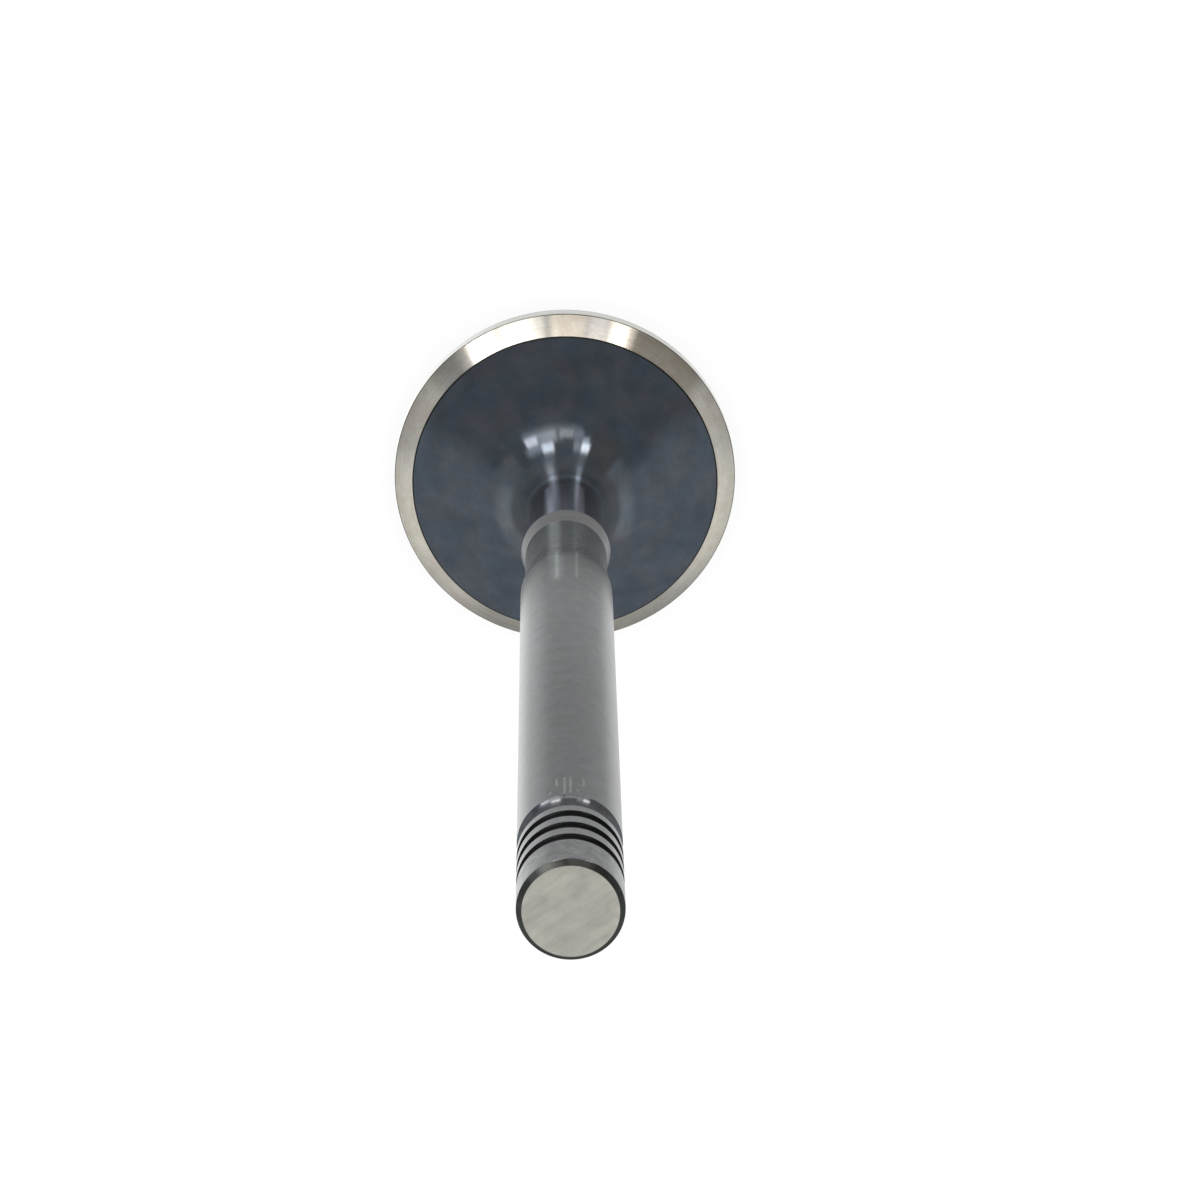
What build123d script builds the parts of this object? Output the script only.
from build123d import *
import os
from math import cos, radians, sin, tan

# An engine poppet valve, turned and ground from one forging, in millimetres.
# It stands on the flat face of its head: the origin is the centre of that face, and +Z runs
# up the stem to the tip, where the rocker or tappet pushes.

# Overall
LENGTH = 105.7  # head face to tip face
STEM_R = 4.0  # ground stem, which slides in the guide

# Head
HEAD_R = 16.0
FACE_EDGE = 0.25  # chamfer that breaks the edge of the head face
MARGIN_TOP = 1.7  # height of the plain rim up to the seat face
SEAT_ANGLE = 45.0  # seat face, from the plane of the head
SEAT_INNER_R = 14.2

# Underhead and neck
UNDERHEAD_ANGLE = 24.0  # cone between the seat face and the fillet, from the plane of the head
NECK_R = 3.4
NECK_FILLET_R = 9.0  # tulip-shaped sweep from the underhead cone into the neck

# Scraper collar and the relief behind it, where the stem leaves the guide
COLLAR_Z = 23.7  # sharp edge of the collar, at full stem size
COLLAR_BACK_ANGLE = 45.0  # step from the neck up to the collar, from the stem's axis
COLLAR_TAPER = 2.0  # length of the slender cone from the collar down to the relief
RELIEF_R = 3.61
RELIEF_TOP_Z = 32.5  # end of the plain part of the relief
STEM_START_Z = 36.5  # where the relief has run out and the ground stem begins

# Tip end, measured down from the tip face
TIP_CHAMFER = 0.43
KEEPER_GROOVES = 3
FIRST_GROOVE = 4.64  # tip face to the middle of the nearest keeper groove
GROOVE_PITCH = 2.28
GROOVE_R = 0.5  # the keeper grooves are half-round
CLIP_GROOVE = 11.82  # tip face to the middle of the wide clip groove
CLIP_GROOVE_WIDTH = 2.12
CLIP_GROOVE_DEPTH = 0.5


def underhead(seat_inner):
    """The underhead cone and the fillet that is tangent to it and to the neck."""
    slope = radians(UNDERHEAD_ANGLE)
    centre_r = NECK_R + NECK_FILLET_R
    centre_z = seat_inner[1] + (seat_inner[0] - centre_r) * tan(slope) + NECK_FILLET_R / cos(slope)
    cone_end = (centre_r - NECK_FILLET_R * sin(slope), centre_z - NECK_FILLET_R * cos(slope))
    neck_start = (NECK_R, centre_z)
    Line(seat_inner, cone_end)
    RadiusArc(cone_end, neck_start, NECK_FILLET_R)
    return neck_start


def relief(neck_start):
    """The neck, the scraper collar, the relief and its run-out into the ground stem."""
    step = (STEM_R - NECK_R) / tan(radians(COLLAR_BACK_ANGLE))
    relief_start = (RELIEF_R, COLLAR_Z + COLLAR_TAPER)
    relief_end = (RELIEF_R, RELIEF_TOP_Z)
    stem_start = (STEM_R, STEM_START_Z)
    Polyline(
        neck_start,
        (NECK_R, COLLAR_Z - step),
        (STEM_R, COLLAR_Z),
        relief_start,
        relief_end,
    )
    TangentArc(stem_start, relief_end, tangent=(0, -1))
    return stem_start


def blank():
    """The valve without its grooves, turned about the stem's axis."""
    seat_inner = (SEAT_INNER_R, MARGIN_TOP + (HEAD_R - SEAT_INNER_R) * tan(radians(SEAT_ANGLE)))
    with BuildPart() as part:
        with BuildSketch(Plane.XZ):
            with BuildLine():
                Polyline(
                    (0, 0),
                    (HEAD_R - FACE_EDGE, 0),
                    (HEAD_R, FACE_EDGE),
                    (HEAD_R, MARGIN_TOP),
                    seat_inner,
                )
                stem_start = relief(underhead(seat_inner))
                Polyline(
                    stem_start,
                    (STEM_R, LENGTH - TIP_CHAMFER),
                    (STEM_R - TIP_CHAMFER, LENGTH),
                    (0, LENGTH),
                    (0, 0),
                )
            make_face()
        revolve(axis=Axis.Z)
    return part.part


def round_groove(below_tip, width, depth):
    """The ring that cuts a groove of circular section into the stem."""
    section_r = (width**2 / 4 + depth**2) / (2 * depth)
    ring = Torus(STEM_R - depth + section_r, section_r)
    return Pos(0, 0, LENGTH - below_tip) * ring


def valve():
    """The finished valve: the blank with its clip groove and keeper grooves."""
    body = blank() - round_groove(CLIP_GROOVE, CLIP_GROOVE_WIDTH, CLIP_GROOVE_DEPTH)
    for n in range(KEEPER_GROOVES):
        body -= round_groove(FIRST_GROOVE + n * GROOVE_PITCH, 2 * GROOVE_R, GROOVE_R)
    return body


os.makedirs("parts", exist_ok=True)
export_step(valve(), "parts/valve.step")
